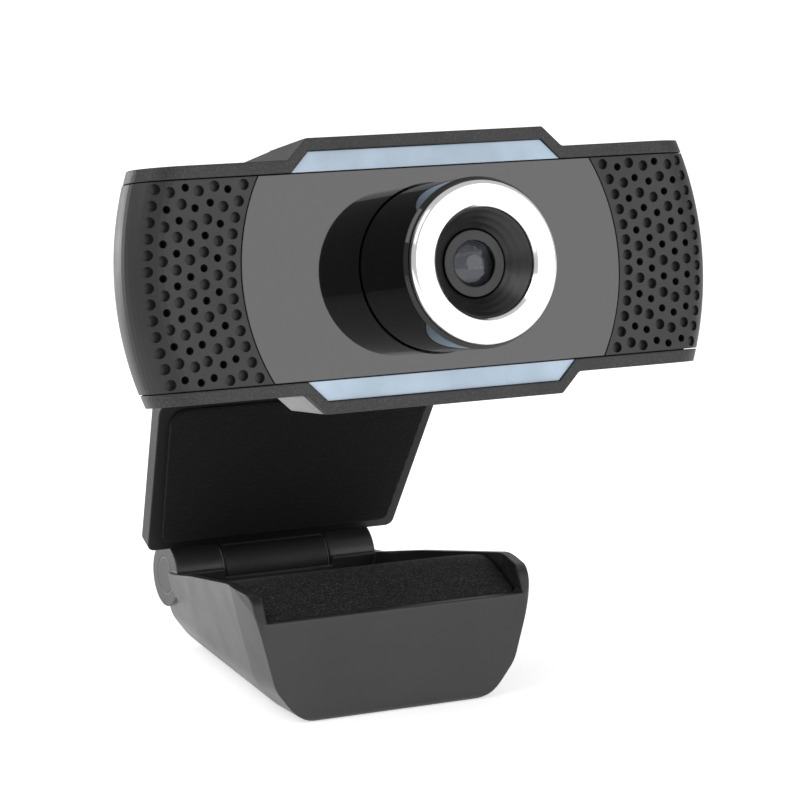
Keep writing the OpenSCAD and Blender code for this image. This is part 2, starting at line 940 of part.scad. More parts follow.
module housing_screws() {
    color("silver")
    at_head() both_sides() for (z = [-1, 1])
        translate([case_screw_x, 0, z * case_screw_z]) difference() {
            union() {
                bar_y(case_screw_r, web_back + 1.5, wing_depth - 0.9);
                bar_y(case_screw_r + 1.1, wing_depth - 1.6, wing_depth - 0.6);
            }
            translate([-0.9, wing_depth - 1, -0.25]) cube([1.8, 1, 0.5]);
        }
}

module swivel_arm() {
    back = hump_depth - head_forward;
    color([0.16, 0.16, 0.17])
    at_neck() difference() {
        union() {
            bar_z(eye_r, eye_z, eye_top);
            translate([-arm_half, back, eye_z])
                cube([2 * arm_half, 2 - back - eye_r, eye_h]);
            translate([-arm_plate_half, back, eye_z])
                cube([2 * arm_plate_half, arm_plate_t, eye_h]);
        }
        bar_z(post_r + run_fit, eye_z - 1, eye_top + 1);
        both_sides() translate([arm_screw_x, 0, eye_z + eye_h / 2])
            bar_y(arm_screw_r, back - 1, back + 2);
    }
}

module arm_screws() {
    color("silver")
    at_head() both_sides() translate([arm_screw_x, 0, arm_z_mid()]) {
        bar_y(arm_screw_r, hump_depth - wall - 1.2, hump_depth + 1.9);
        bar_y(arm_screw_r + 0.9, hump_depth - wall - 1.3, hump_depth - wall - 0.2);
    }
}

// ---- Head: inside ----

module microphone() {
    translate([mic_x, 0, 0]) bar_y(mic_r, web_back + 0.4, web_back + 0.4 + mic_t);
}
module microphone_right() {
    color("silver")
    at_head() microphone();
}
module microphone_left() {
    color("silver")
    at_head() mirror([1, 0, 0]) microphone();
}

module microphone_boot() {
    translate([mic_x, 0, 0]) difference() {
        bar_y(mic_r + boot_t, web_back, web_back + mic_t + 0.2);
        bar_y(mic_r, web_back + 0.4, web_back + mic_t + 1);
        bar_y(1.2, web_back - 1, web_back + 1);
    }
}
module microphone_boot_right() {
    color([0.05, 0.05, 0.05])
    at_head() microphone_boot();
}
module microphone_boot_left() {
    color([0.05, 0.05, 0.05])
    at_head() mirror([1, 0, 0]) microphone_boot();
}

module lens_barrel() {
    flange_r = barrel_r + flange_reach;
    color([0.03, 0.03, 0.03])
    at_head() about_y() polygon([
        [barrel_bore, -barrel_len], [barrel_r - 0.4, -barrel_len], [barrel_r, -barrel_len + 0.4],
        [barrel_r, panel_t], [flange_r, panel_t], [flange_r, panel_t + flange_t], [barrel_bore, panel_t + flange_t]
    ]);
}

module focus_ring() {
    round_r = 0.7;
    bevel = 0.4;
    color([0.85, 0.85, 0.86])
    at_head() about_y() polygon(concat(
        [[mouth_r, ring_back], [mouth_r, ring_face + bevel], [mouth_r + bevel, ring_face]],
        [for (i = [0:5]) [ring_r - round_r + round_r * sin(18 * i), ring_face + round_r * (1 - cos(18 * i))]],
        [
            [ring_r, ring_back], [skirt_r, ring_back], [skirt_r, skirt_end],
            [cell_r + run_fit, skirt_end], [cell_r + run_fit, skirt_end - skirt_floor],
            [skirt_r - skirt_wall, skirt_end - skirt_floor], [skirt_r - skirt_wall, ring_back]
        ]
    ));
}

module mouth_cone() {
    outer = skirt_r - skirt_wall - 0.02;
    color([0.06, 0.06, 0.06])
    at_head() about_y() polygon([
        [mouth_r - 0.05, ring_face + 0.7], [nose_r + run_fit, cone_back - 0.8], [nose_r + run_fit, cone_back],
        [outer, cone_back], [outer, ring_back + 0.02], [mouth_r - 0.05, ring_back + 0.02]
    ]);
}

module lens_cell() {
    bore = glass_r + 0.02;
    color([0.05, 0.05, 0.05])
    at_head() about_y() polygon([
        [bore, retainer_y + retainer_t], [nose_r, retainer_y + retainer_t], [nose_r, cell_front],
        [cell_r, cell_front], [cell_r, cell_end], [bore - 0.6, cell_end], [bore - 0.6, 1],
        [bore - 0.3, 1], [bore - 0.3, -3], [bore, -3]
    ]);
}

module lens_retainer() {
    color([0.04, 0.04, 0.04])
    at_head() about_y() polygon([
        [glass_r - 0.35, retainer_y], [retainer_r, retainer_y], [nose_r, retainer_y + retainer_t],
        [glass_r - 0.35, retainer_y + retainer_t]
    ]);
}

// A lens with a domed front, a flat back and a ground edge
module domed_lens(r, front, rim, back) {
    sag = rim - front;
    dome_r = (r * r + sag * sag) / (2 * sag);
    spread = asin(r / dome_r);
    about_y() polygon(concat(
        [[0, back]],
        [for (i = [0:8]) [dome_r * sin(spread * i / 8), front + dome_r * (1 - cos(spread * i / 8))]],
        [[r, back]]
    ));
}

module front_lens() {
    front = retainer_y + retainer_t;
    color([0.25, 0.28, 0.32])
    at_head() {
        domed_lens(glass_r - 0.37, front - 1, front - 0.02, front + 0.01);
        bar_y(glass_r, front + 0.01, front + 2);
    }
}

module middle_lens() {
    color([0.3, 0.32, 0.35])
    at_head() domed_lens(glass_r - 0.3, -3, -2.4, -1);
}

module rear_lens() {
    color([0.3, 0.32, 0.35])
    at_head() domed_lens(glass_r - 0.6, 1.2, 1.8, 3.4);
}

module lens_mount() {
    color([0.08, 0.08, 0.08])
    at_head() difference() {
        union() {
            bar_y(mount_r, mount_front, mount_step + 0.5);
            along_y(mount_step, board_y) square(2 * mount_half, center = true);
        }
        bar_y(cell_r + run_fit, mount_front - 1, sensor_pocket_y);
        along_y(sensor_pocket_y, board_y + 1) square(2 * sensor_pocket, center = true);
    }
}

module infrared_filter() {
    color([0.75, 0.45, 0.5])
    at_head() along_y(sensor_pocket_y + 0.2, sensor_pocket_y + 0.5)
        square(2 * sensor_pocket - 0.04, center = true);
}

module image_sensor() {
    color([0.35, 0.3, 0.25])
    at_head() along_y(board_y - sensor_t, board_y) square(2 * sensor_half, center = true);
}

module circuit_board() {
    color([0.05, 0.3, 0.15])
    at_head() difference() {
        along_y(board_y, board_back) square([2 * board_half_x, 2 * board_half_z], center = true);
        both_sides() for (z = [-1, 1])
            translate([board_screw_x, 0, z * board_screw_z]) bar_y(board_screw_r + 0.2, 0, board_back + 1);
    }
}

// A package with square corners on the back of the board
module board_part(x, z, w, h, t) {
    at_head() translate([x - w / 2, board_back, z - h / 2]) cube([w, t, h]);
}
module controller_chip() {
    color([0.08, 0.08, 0.08])
    board_part(10, 0, 9, 9, 1);
}
module crystal_can() {
    color("silver")
    board_part(1.5, 6, 5, 3.2, 1.2);
}
module board_connector() {
    color("ivory")
    board_part(-11, 0, 9, 5, 4);
}

module board_screws() {
    color("silver")
    at_head() both_sides() for (z = [-1, 1])
        translate([board_screw_x, 0, z * board_screw_z]) difference() {
            union() {
                bar_y(board_screw_r, web_back + 1, board_back + 0.5);
                bar_y(board_screw_r + 0.9, board_back, board_back + 1.2);
            }
            translate([-0.8, board_back + 0.7, -0.25]) cube([1.6, 1, 0.5]);
        }
}

foot_shell();
foot_tray();
foot_pad();
foot_screws();
hinge_pin();
hinge_caps();
hinge_washers();
clip_plate();
plate_pad();
tilt_pin();
tilt_washers();
neck_block();
swivel_washer();
post_clip();
swivel_arm();
arm_screws();
rear_housing();
cord_grommet();
housing_screws();
front_bezel();
front_panel();
accent_strip_top();
accent_strip_bottom();
lower_insert_left();
lower_insert_right();
grille_left();
grille_right();
dust_mesh_left();
dust_mesh_right();
microphone_left();
microphone_right();
microphone_boot_left();
microphone_boot_right();
lens_barrel();
lens_mount();
infrared_filter();
image_sensor();
circuit_board();
controller_chip();
crystal_can();
board_connector();
board_screws();
focus_ring();
mouth_cone();
lens_cell();
lens_retainer();
front_lens();
middle_lens();
rear_lens();
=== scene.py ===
import json
import math
import bmesh
import bpy
import numpy as np
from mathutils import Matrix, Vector


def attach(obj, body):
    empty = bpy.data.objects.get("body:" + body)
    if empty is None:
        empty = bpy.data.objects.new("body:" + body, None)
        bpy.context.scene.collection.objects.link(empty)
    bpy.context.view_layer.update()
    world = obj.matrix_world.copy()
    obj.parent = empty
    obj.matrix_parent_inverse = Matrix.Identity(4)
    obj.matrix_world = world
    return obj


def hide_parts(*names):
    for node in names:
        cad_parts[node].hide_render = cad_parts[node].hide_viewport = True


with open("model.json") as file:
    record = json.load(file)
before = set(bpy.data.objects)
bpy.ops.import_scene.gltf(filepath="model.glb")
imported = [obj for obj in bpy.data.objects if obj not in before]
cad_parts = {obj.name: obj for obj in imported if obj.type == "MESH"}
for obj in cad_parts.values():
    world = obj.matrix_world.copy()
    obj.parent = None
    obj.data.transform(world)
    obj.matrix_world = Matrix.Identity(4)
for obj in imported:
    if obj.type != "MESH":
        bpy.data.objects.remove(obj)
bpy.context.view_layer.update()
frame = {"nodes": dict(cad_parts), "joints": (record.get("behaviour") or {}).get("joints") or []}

nodes = frame["nodes"]
joints = {joint["name"]: joint for joint in frame["joints"]}

# ---- Studio: camera, lights and floor ------------------------------------------
# A white sweep under and behind the webcam. One broad soft light stands over its left
# shoulder, a large one to the right front for the gloss face to mirror, and a low one
# behind it on the left rakes the flank of the foot.

camera = bpy.data.objects.new("camera", bpy.data.cameras.new("camera"))
bpy.context.scene.collection.objects.link(camera)
camera.data.lens = 146.2
camera.data.sensor_width = 36.0
camera.data.clip_start = 0.01
camera.location = (-0.2013, -0.4198, 0.1259)
camera.rotation_euler = Vector((0.4454, 0.8772, -0.1791)).to_track_quat("-Z", "Y").to_euler()
bpy.context.scene.camera = camera
bpy.context.scene.view_settings.view_transform = "Standard"


def soft_light(name, place, target, width, height, power):
    """A rectangular light at place that faces target; sizes in metres, power in watts."""
    data = bpy.data.lights.new(name, "AREA")
    data.shape = "RECTANGLE"
    data.size = width
    data.size_y = height
    data.energy = power
    light = bpy.data.objects.new(name, data)
    light.location = place
    light.rotation_euler = (Vector(target) - Vector(place)).to_track_quat("-Z", "Y").to_euler()
    bpy.context.scene.collection.objects.link(light)


soft_light("shoulder", (-0.50, -0.20, 0.60), (0, -0.02, 0.05), 0.45, 0.45, 1.6)
soft_light("front_right", (0.45, -0.85, 0.22), (0, -0.03, 0.06), 0.80, 0.70, 2.4)
soft_light("left_low", (-0.42, 0.60, 0.12), (0, 0, 0.03), 0.50, 0.30, 2.6)

surround = bpy.data.worlds.new("surround")
surround.use_nodes = True
sky = surround.node_tree.nodes["Background"]
sky.inputs["Color"].default_value = (1, 1, 1, 1)
seen = surround.node_tree.nodes.new("ShaderNodeLightPath").outputs["Is Camera Ray"]
brightness = surround.node_tree.nodes.new("ShaderNodeMapRange")
brightness.inputs["To Min"].default_value = 0.62
brightness.inputs["To Max"].default_value = 1.0
surround.node_tree.links.new(seen, brightness.inputs["Value"])
surround.node_tree.links.new(brightness.outputs["Result"], sky.inputs["Strength"])
bpy.context.scene.world = surround

floor_mesh = bpy.data.meshes.new("floor")
floor_mesh.from_pydata([(-3, -3, 0), (3, -3, 0), (3, 3, 0), (-3, 3, 0)], [], [(0, 1, 2, 3)])
floor = bpy.data.objects.new("floor", floor_mesh)
bpy.context.scene.collection.objects.link(floor)
floor_paint = bpy.data.materials.new("floor_paint")
floor_paint.use_nodes = True
paint = floor_paint.node_tree.nodes["Principled BSDF"].inputs
paint["Base Color"].default_value = (0.9, 0.9, 0.9, 1)
paint["Roughness"].default_value = 0.9
paint["Emission Color"].default_value = (1, 1, 1, 1)
paint["Emission Strength"].default_value = 0.55
floor_mesh.materials.append(floor_paint)

# ---- Foot shell ----------------------------------------------------------------
# The open tray-shaped foot that the webcam stands on or that hooks behind a screen.
# One moulding in dark grey ABS with a smooth satin skin; the two outer knuckles of the
# hinge are part of it.


def plug(tree, value, socket):
    """Puts a number, colour or vector on a socket, or links another socket to it."""
    if isinstance(value, bpy.types.NodeSocket):
        tree.links.new(value, socket)
    else:
        socket.default_value = value


def shader_group(name, inputs, outputs):
    """An empty node group. inputs are (label, socket type, value) and outputs (label, socket type)."""
    tree = bpy.data.node_groups.new(name, "ShaderNodeTree")
    for label, kind, value in inputs:
        socket = tree.interface.new_socket(label, in_out="INPUT", socket_type=kind)
        socket.default_value = value
    for label, kind in outputs:
        tree.interface.new_socket(label, in_out="OUTPUT", socket_type=kind)
    return tree, tree.nodes.new("NodeGroupInput").outputs, tree.nodes.new("NodeGroupOutput").inputs


def maths(tree, operation, *values, clamp=False):
    """The result of one Math node on these numbers or sockets."""
    node = tree.nodes.new("ShaderNodeMath")
    node.operation = operation
    node.use_clamp = clamp
    for value, socket in zip(values, node.inputs):
        plug(tree, value, socket)
    return node.outputs[0]


def spread(tree, value, low, high):
    """A mask from 0 to 1 carried on to the stretch from low to high."""
    return maths(tree, "MULTIPLY_ADD", value, high - low, low)


def between(tree, mask, first, second):
    """The colour that goes from first to second as mask goes from 0 to 1."""
    node = tree.nodes.new("ShaderNodeMix")
    node.data_type = "RGBA"
    plug(tree, mask, node.inputs[0])
    plug(tree, first, node.inputs[6])
    plug(tree, second, node.inputs[7])
    return node.outputs[2]


def texture(tree, kind, place, **values):
    """A texture node of that kind at place, with its named inputs set."""
    node = tree.nodes.new("ShaderNodeTex" + kind)
    plug(tree, place, node.inputs["Vector"])
    for label, value in values.items():
        plug(tree, value, node.inputs[label])
    return node


def object_place(tree):
    """The point of the surface in the object's own coordinates, in metres."""
    return tree.nodes.new("ShaderNodeTexCoord").outputs["Object"]


FLOAT = "NodeSocketFloat"
VECTOR = "NodeSocketVector"

# Spark-eroded grain: noise and small pits whose cell is in millimetres, and a slow mottle
moulded_grain, given, gives = shader_group(
    "moulded_grain", [("Cell", FLOAT, 0.3)], [("Height", FLOAT), ("Mottle", FLOAT)])
spot = object_place(moulded_grain)
per_metre = maths(moulded_grain, "DIVIDE", 1000.0, given["Cell"])
bumps = texture(moulded_grain, "Noise", spot, Scale=per_metre, Detail=3.0, Roughness=0.6)
pits = texture(moulded_grain, "Voronoi", spot, Scale=maths(moulded_grain, "MULTIPLY", per_metre, 1.3))
slow = texture(moulded_grain, "Noise", spot, Scale=140.0, Detail=4.0)
pitted = maths(moulded_grain, "MULTIPLY", pits.outputs["Distance"], 0.5)
plug(moulded_grain, maths(moulded_grain, "ADD", bumps.outputs["Fac"], pitted), gives["Height"])
plug(moulded_grain, maths(moulded_grain, "MULTIPLY_ADD", slow.outputs["Fac"], 2.2, -0.6, clamp=True),
     gives["Mottle"])

# Rubbed edges: where the surface turns within Reach millimetres, broken up by noise
edge_rub, given, gives = shader_group(
    "edge_rub", [("Reach", FLOAT, 0.2)], [("Mask", FLOAT), ("Normal", VECTOR)])
eased = edge_rub.nodes.new("ShaderNodeBevel")
eased.samples = 6
plug(edge_rub, maths(edge_rub, "MULTIPLY", given["Reach"], 0.001), eased.inputs["Radius"])
alike = edge_rub.nodes.new("ShaderNodeVectorMath")
alike.operation = "DOT_PRODUCT"
plug(edge_rub, eased.outputs["Normal"], alike.inputs[0])
plug(edge_rub, edge_rub.nodes.new("ShaderNodeNewGeometry").outputs["Normal"], alike.inputs[1])
turned = maths(edge_rub, "SUBTRACT", 1.0, alike.outputs["Value"])
patchy = texture(edge_rub, "Noise", object_place(edge_rub), Scale=900.0, Detail=3.0)
worn = maths(edge_rub, "MULTIPLY", maths(edge_rub, "MULTIPLY", turned, 5.0, clamp=True),
             maths(edge_rub, "MULTIPLY_ADD", patchy.outputs["Fac"], 1.6, -0.3, clamp=True))
plug(edge_rub, worn, gives["Mask"])
plug(edge_rub, eased.outputs["Normal"], gives["Normal"])

# Handling marks: soft smears about Size millimetres across
handling, given, gives = shader_group("handling", [("Size", FLOAT, 9.0)], [("Smear", FLOAT)])
smears = texture(handling, "Noise", object_place(handling),
                 Scale=maths(handling, "DIVIDE", 1000.0, given["Size"]), Detail=5.0, Distortion=0.8)
plug(handling, maths(handling, "MULTIPLY_ADD", smears.outputs["Fac"], 2.4, -0.7, clamp=True),
     gives["Smear"])


def place_group(tree, group, **values):
    """One use of a shared group in a material, with its named inputs set."""
    node = tree.nodes.new("ShaderNodeGroup")
    node.node_tree = group
    for label, value in values.items():
        plug(tree, value, node.inputs[label])
    return node.outputs


def new_material(name, **values):
    """A material and its Principled shader, with constants set on the shader's own sockets."""
    material = bpy.data.materials.new(name)
    material.use_nodes = True
    shader = material.node_tree.nodes["Principled BSDF"]
    for label, value in values.items():
        shader.inputs[label.replace("_", " ")].default_value = value
    return material, material.node_tree, shader.inputs


def raise_grain(tree, height, micrometres, normal, socket):
    """Feeds a bump of that height, over the eased normal, to the shader's Normal."""
    bump = tree.nodes.new("ShaderNodeBump")
    bump.inputs["Distance"].default_value = micrometres * 1e-6
    plug(tree, height, bump.inputs["Height"])
    plug(tree, normal, bump.inputs["Normal"])
    plug(tree, bump.outputs["Normal"], socket)


def plastic(name, colour, rough, cell, depth, reach=0.2, edge_and_glint_colour=(0.16, 0.16, 0.165), lift=0.3,
            painted_glint=0.0, **values):
    """Moulded plastic: grain of that cell (mm) and depth (micrometres), edges worn over reach (mm).
    The tips of the grain are painted towards the edge colour by the glint amount, a painted glint."""
    material, tree, skin = new_material(name, **values)
    grain = place_group(tree, moulded_grain, Cell=cell)
    rub = place_group(tree, edge_rub, Reach=reach)
    smear = place_group(tree, handling)["Smear"]
    tint = between(tree, grain["Mottle"], [0.86 * c for c in colour] + [1], [1.14 * c for c in colour] + [1])
    # Painted glint: the tips of the grain are painted lighter, standing in for light catching the grain; the
    # same mask also carries the edge wear.
    tips = maths(tree, "MULTIPLY_ADD", grain["Height"], 4.0, -2.9, clamp=True)
    edge_and_glint_mask = maths(tree, "MAXIMUM", maths(tree, "MULTIPLY", rub["Mask"], lift),
                      maths(tree, "MULTIPLY", tips, painted_glint))
    plug(tree, between(tree, edge_and_glint_mask, tint, (*edge_and_glint_colour, 1)), skin["Base Color"])
    plug(tree, spread(tree, smear, 0.88 * rough, 1.12 * rough), skin["Roughness"])
    raise_grain(tree, grain["Height"], depth, rub["Normal"], skin["Normal"])
    return material


def dress(material, *names):
    """Gives CAD nodes a material."""
    for name in names:
        nodes[name].data.materials.clear()
        nodes[name].data.materials.append(material)


foot_plastic = plastic("foot_plastic", (0.018, 0.018, 0.0188), 0.38, cell=0.22, depth=5, reach=0.5,
                       edge_and_glint_colour=(0.05, 0.05, 0.052))
dress(foot_plastic, "foot_shell", "hinge_caps")

# ---- Foot tray and rubber pad -----------------------------------------------------
# A stiff tray screwed inside the foot carries a rubber pad that stands on the desk or
# grips the back of a screen. The pad is pressed from black rubber with a fine stipple,
# is crowned along its edges and sits in the well with a thin dark groove round it.
inner_plastic = plastic("inner_plastic", (0.012, 0.012, 0.012), 0.55, cell=0.3, depth=6)
dress(inner_plastic, "foot_tray")


def soft_skin(name, node, cell, rounds, sink):
    """A closed skin round a CAD solid: remeshed in cells (m) and relaxed, then drawn in along its
    normals by sink (m) times e to the 6th, where e is the larger of the two distances from the
    middle, each measured along one of the solid's two long axes and 1 at its border."""
    mesh = nodes[node].data.copy()
    form = bmesh.new()
    form.from_mesh(mesh)
    bmesh.ops.remove_doubles(form, verts=form.verts, dist=1e-6)
    form.to_mesh(mesh)
    form.free()
    piece = bpy.data.objects.new(name, mesh)
    bpy.context.scene.collection.objects.link(piece)
    cells = piece.modifiers.new("cells", "REMESH")
    cells.mode = "VOXEL"
    cells.voxel_size = cell
    relaxed = piece.modifiers.new("relaxed", "SMOOTH")
    relaxed.factor = 0.5
    relaxed.iterations = rounds
    skin = bpy.data.meshes.new_from_object(piece.evaluated_get(bpy.context.evaluated_depsgraph_get()))
    piece.modifiers.clear()
    piece.data = skin
    points = np.empty(3 * len(skin.vertices))
    normals = np.empty(3 * len(skin.vertices))
    skin.vertices.foreach_get("co", points)
    skin.vertex_normals.foreach_get("vector", normals)
    points = points.reshape(-1, 3)
    normals = normals.reshape(-1, 3)
    middle = (points.min(axis=0) + points.max(axis=0)) / 2
    axes = np.linalg.eigh(np.cov((points - middle).T))[1]
    along = np.abs((points - middle) @ axes[:, 1:])
    border = (along / along.max(axis=0)).max(axis=1)
    points = points - normals * (sink * border ** 6)[:, None]
    skin.vertices.foreach_set("co", points.ravel())
    skin.polygons.foreach_set("use_smooth", np.ones(len(skin.polygons), dtype=bool))
    skin.update()
    skin.materials.clear()
    return piece


def stippled(name, colour, glint_fleck, rough, cell, depth, share, **values):
    """Rubber or foam: pores of that cell (mm) and depth (micrometres), a share of them painted lighter as a
    painted glint.
    """
    material, tree, skin = new_material(name, **values)
    spot = object_place(tree)
    pores = texture(tree, "Voronoi", spot, Scale=1000.0 / cell)
    clumps = texture(tree, "Noise", spot, Scale=900.0 / cell, Detail=2.0)
    dusty = place_group(tree, handling, Size=6.0)["Smear"]
    # Painted glint: a share of the surface, picked by noise, is painted in the lighter glint colour.
    painted_glint_mask = maths(tree, "MULTIPLY_ADD", clumps.outputs["Fac"], 6.0, -6.0 * (1 - share), clamp=True)
    tint = between(tree, painted_glint_mask, (*colour, 1), (*glint_fleck, 1))
    plug(tree, between(tree, maths(tree, "MULTIPLY", dusty, 0.25), tint, [1.8 * c for c in colour] + [1]),
         skin["Base Color"])
    plug(tree, spread(tree, dusty, rough - 0.06, rough + 0.06), skin["Roughness"])
    height = maths(tree, "ADD", pores.outputs["Distance"], clumps.outputs["Fac"])
    facing = tree.nodes.new("ShaderNodeNewGeometry").outputs["Normal"]
    raise_grain(tree, height, depth, facing, skin["Normal"])
    return material


# The rubber's lighter flecks are painted glints.
pad_rubber = stippled("pad_rubber", (0.005, 0.005, 0.005), (0.05, 0.05, 0.05), 0.75,
                      cell=0.26, depth=45, share=0.5, Specular_IOR_Level=0.3)
rubber_pad = soft_skin("rubber_pad", "foot_pad", cell=0.0003, rounds=4, sink=0.00025)
rubber_pad.data.materials.append(pad_rubber)
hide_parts("foot_pad")
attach(rubber_pad, "foot")

# ---- Hinge pin, washers and foot screws --------------------------------------------
# A ground steel pin runs through the three knuckles between nylon washers, and two
# self-tapping screws hold the tray. The steel is zinc plated and drawn along its length.


def metal(name, colour, rough, stretch, depth, **values):
    """Plated metal with drawing lines: noise pulled out stretch times along X."""
    material, tree, skin = new_material(name, Metallic=1.0, **values)
    mapping = tree.nodes.new("ShaderNodeMapping")
    mapping.inputs["Scale"].default_value = (1 / stretch, 1, 1)
    plug(tree, object_place(tree), mapping.inputs["Vector"])
    lines = texture(tree, "Noise", mapping.outputs["Vector"], Scale=6000.0, Detail=3.0)
    rub = place_group(tree, edge_rub, Reach=0.1)
    smear = place_group(tree, handling, Size=5.0)["Smear"]
    plug(tree, between(tree, smear, [0.82 * c for c in colour] + [1], (*colour, 1)), skin["Base Color"])
    plug(tree, spread(tree, lines.outputs["Fac"], 0.8 * rough, 1.2 * rough), skin["Roughness"])
    raise_grain(tree, lines.outputs["Fac"], depth, rub["Normal"], skin["Normal"])
    return material


steel = metal("steel", (0.62, 0.62, 0.60), 0.28, stretch=12, depth=3)
dress(steel, "hinge_pin", "foot_screws", "tilt_pin", "post_clip", "arm_screws", "housing_screws",
      "board_screws", "microphone_left", "microphone_right", "crystal_can")
nylon = plastic("nylon", (0.62, 0.60, 0.54), 0.45, cell=0.2, depth=2, edge_and_glint_colour=(0.8, 0.79, 0.75),
                Subsurface_Weight=0.2, Subsurface_Scale=0.0008)
dress(nylon, "hinge_washers", "tilt_washers", "swivel_washer")

# ---- Clip plate and its foam ---------------------------------------------------------
# The upper jaw of the clip, moulded in satin black with the middle knuckle of the hinge.
# A sheet of soft black foam is glued to the face that lies against the screen; its cut
# edges pull in a little, which leaves a shadow line inside the plate's border.
plate_plastic = plastic("plate_plastic", (0.006, 0.006, 0.0063), 0.50, cell=0.24, depth=6, reach=0.35,
                        edge_and_glint_colour=(0.05, 0.05, 0.052), Specular_IOR_Level=0.4)
dress(plate_plastic, "clip_plate")
# The foam's lighter flecks are painted glints.
foam = stippled("foam", (0.004, 0.004, 0.004), (0.009, 0.009, 0.009), 0.95, cell=0.4, depth=60, share=0.45,
                Specular_IOR_Level=0.12, Sheen_Weight=0.05, Sheen_Roughness=0.6)
plate_foam = soft_skin("plate_foam", "plate_pad", cell=0.00025, rounds=3, sink=0.00015)
plate_foam.data.materials.append(foam)
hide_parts("plate_pad")
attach(plate_foam, "plate")

# ---- Neck and swivel arm ---------------------------------------------------------------
# A die-cast zinc block turns on the plate's tilt pin and carries the swivel post. The
# arm above it is black plastic, screwed to the back of the head.
neck_metal = plastic("neck_metal", (0.018, 0.018, 0.019), 0.36, cell=0.35, depth=9, reach=0.2,
                     edge_and_glint_colour=(0.35, 0.35, 0.34), lift=0.5)
dress(neck_metal, "neck_block")
dress(plate_plastic, "swivel_arm")

# ---- Bezel and rear housing --------------------------------------------------------------
# Two casings of black ABS, screwed together from behind. Their moulds are spark eroded,
# which leaves a fine grain; its glint where light rakes it is painted onto the grain tips
# as a painted glint. Each lower slope of the bezel's step is a separate piece coloured pale grey, with a
# satin finish.
# The grain tips of this plastic are painted lighter as a painted glint.
bezel_plastic = plastic("bezel_plastic", (0.010, 0.010, 0.0105), 0.46, cell=0.26, depth=26, reach=0.3,
                        edge_and_glint_colour=(0.08, 0.08, 0.082), lift=0.35, painted_glint=0.35)
dress(bezel_plastic, "front_bezel", "rear_housing")
insert_plastic = plastic("insert_plastic", (0.27, 0.27, 0.275), 0.35, cell=0.3, depth=3,
                         edge_and_glint_colour=(0.5, 0.5, 0.5))
dress(insert_plastic, "lower_insert_left", "lower_insert_right")

# ---- Accent strips -----------------------------------------------------------------------
# Two thin trapeziums of pale blue-grey plastic are pressed into the bezel above and below
# the panel, lacquered to a low sheen. Their cut edges show a thin darker line.
accent = plastic("accent", (0.41, 0.52, 0.635), 0.30, cell=0.25, depth=1.2, reach=0.12,
                 edge_and_glint_colour=(0.06, 0.02, 0.025), lift=0.9, Coat_Weight=0.2, Coat_Roughness=0.15)
dress(accent, "accent_strip_top", "accent_strip_bottom")

# ---- Front panel and lens barrel ------------------------------------------------------------
# The panel and the barrel are gloss black acrylic. They mirror their surroundings with the
# faint waviness of a polished mould and carry a few soft smears.
panel_gloss = plastic("panel_gloss", (0.003, 0.003, 0.0031), 0.03, cell=2.5, depth=0.5, reach=0.15,
                      edge_and_glint_colour=(0.10, 0.10, 0.10), Specular_IOR_Level=1.0)
dress(panel_gloss, "front_panel")
barrel_gloss = plastic("barrel_gloss", (0.0012, 0.0012, 0.0014), 0.035, cell=2.5, depth=0.4, reach=0.2,
                       edge_and_glint_colour=(0.05, 0.05, 0.05))
dress(barrel_gloss, "lens_barrel")

# ---- Grilles, dust mesh and microphones -----------------------------------------------------
# A satin black skin wraps round each end of the head, with staggered columns of dimples
# and sound holes. A woven black mesh behind it keeps dust off the microphone in its boot.
grille_plastic = plastic("grille_plastic", (0.012, 0.012, 0.0125), 0.44, cell=0.3, depth=9, reach=0.12,
                         edge_and_glint_colour=(0.08, 0.08, 0.083), lift=0.25)
dress(grille_plastic, "grille_left", "grille_right")
mesh_cloth, tree, skin = new_material("dust_mesh", Sheen_Weight=0.1)
spot = object_place(tree)
warp = texture(tree, "Wave", spot, Scale=900.0)
weft = texture(tree, "Wave", spot, Scale=900.0)
weft.bands_direction = "Z"
threads = maths(tree, "MAXIMUM", warp.outputs["Fac"], weft.outputs["Fac"])
plug(tree, between(tree, threads, (0.001, 0.001, 0.001, 1), (0.012, 0.012, 0.012, 1)), skin["Base Color"])
plug(tree, spread(tree, threads, 0.9, 0.65), skin["Roughness"])
raise_grain(tree, threads, 40, tree.nodes.new("ShaderNodeNewGeometry").outputs["Normal"], skin["Normal"])
dress(mesh_cloth, "dust_mesh_left", "dust_mesh_right")
dress(pad_rubber, "microphone_boot_left", "microphone_boot_right", "cord_grommet")

# ---- Focus ring and mouth cone -----------------------------------------------------------------
# The ring that turns to focus is brass, turned and chrome plated. A black cone pressed into
# it leads in to the lens and is stepped in fine rings, so that it throws back no glare.
lens_axis = Vector(joints["focus_turn"]["axis"])
lens_centre = Vector(joints["focus_turn"]["pos_m"])
lens_pitch = math.atan2(lens_axis.z, -lens_axis.y)

# Turned lines: ridges Pitch millimetres apart round the lens axis
turned_rings, given, gives = shader_group("turned_rings", [("Pitch", FLOAT, 0.3)], [("Height", FLOAT)])
about_lens = turned_rings.nodes.new("ShaderNodeMapping")
about_lens.vector_type = "TEXTURE"
about_lens.inputs["Location"].default_value = lens_centre
about_lens.inputs["Rotation"].default_value = (-lens_pitch, 0, 0)
plug(turned_rings, object_place(turned_rings), about_lens.inputs["Vector"])
parts = turned_rings.nodes.new("ShaderNodeSeparateXYZ")
plug(turned_rings, about_lens.outputs["Vector"], parts.inputs[0])
across = maths(turned_rings, "POWER", maths(turned_rings, "ABSOLUTE", parts.outputs["X"]), 2.0)
upward = maths(turned_rings, "POWER", maths(turned_rings, "ABSOLUTE", parts.outputs["Z"]), 2.0)
radius = maths(turned_rings, "SQRT", maths(turned_rings, "ADD", across, upward))
millimetres_round = maths(turned_rings, "MULTIPLY", radius, 1000.0 * math.tau)
turns = maths(turned_rings, "DIVIDE", millimetres_round, given["Pitch"])
plug(turned_rings, maths(turned_rings, "SINE", turns), gives["Height"])


